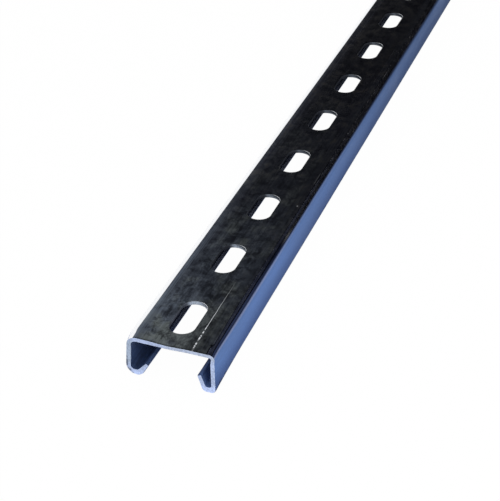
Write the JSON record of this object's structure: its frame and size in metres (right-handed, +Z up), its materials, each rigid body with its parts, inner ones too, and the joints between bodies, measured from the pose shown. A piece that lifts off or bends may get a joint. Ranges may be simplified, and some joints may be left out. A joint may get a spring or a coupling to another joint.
{
  "type": "slotted strut channel",
  "caption": "Slotted strut channel: a steel C-rail with turned-in lips and a row of slots along its web, for bolting up brackets, clamps and supports.",
  "frame": {"origin": "on the floor, under the middle of the channel's length and width", "axes": "+X across the channel, +Y along it away from the sawn end that the slots are counted from, +Z up from the open side to the web"},
  "size_m": [0.0412, 1, 0.0206],
  "materials": {
    "mill_steel": "dark blue-grey mill finish, bright where it is sawn"
  },
  "bodies": {
    "root": {"strut_channel": "mill_steel"}
  },
  "joints": []
}
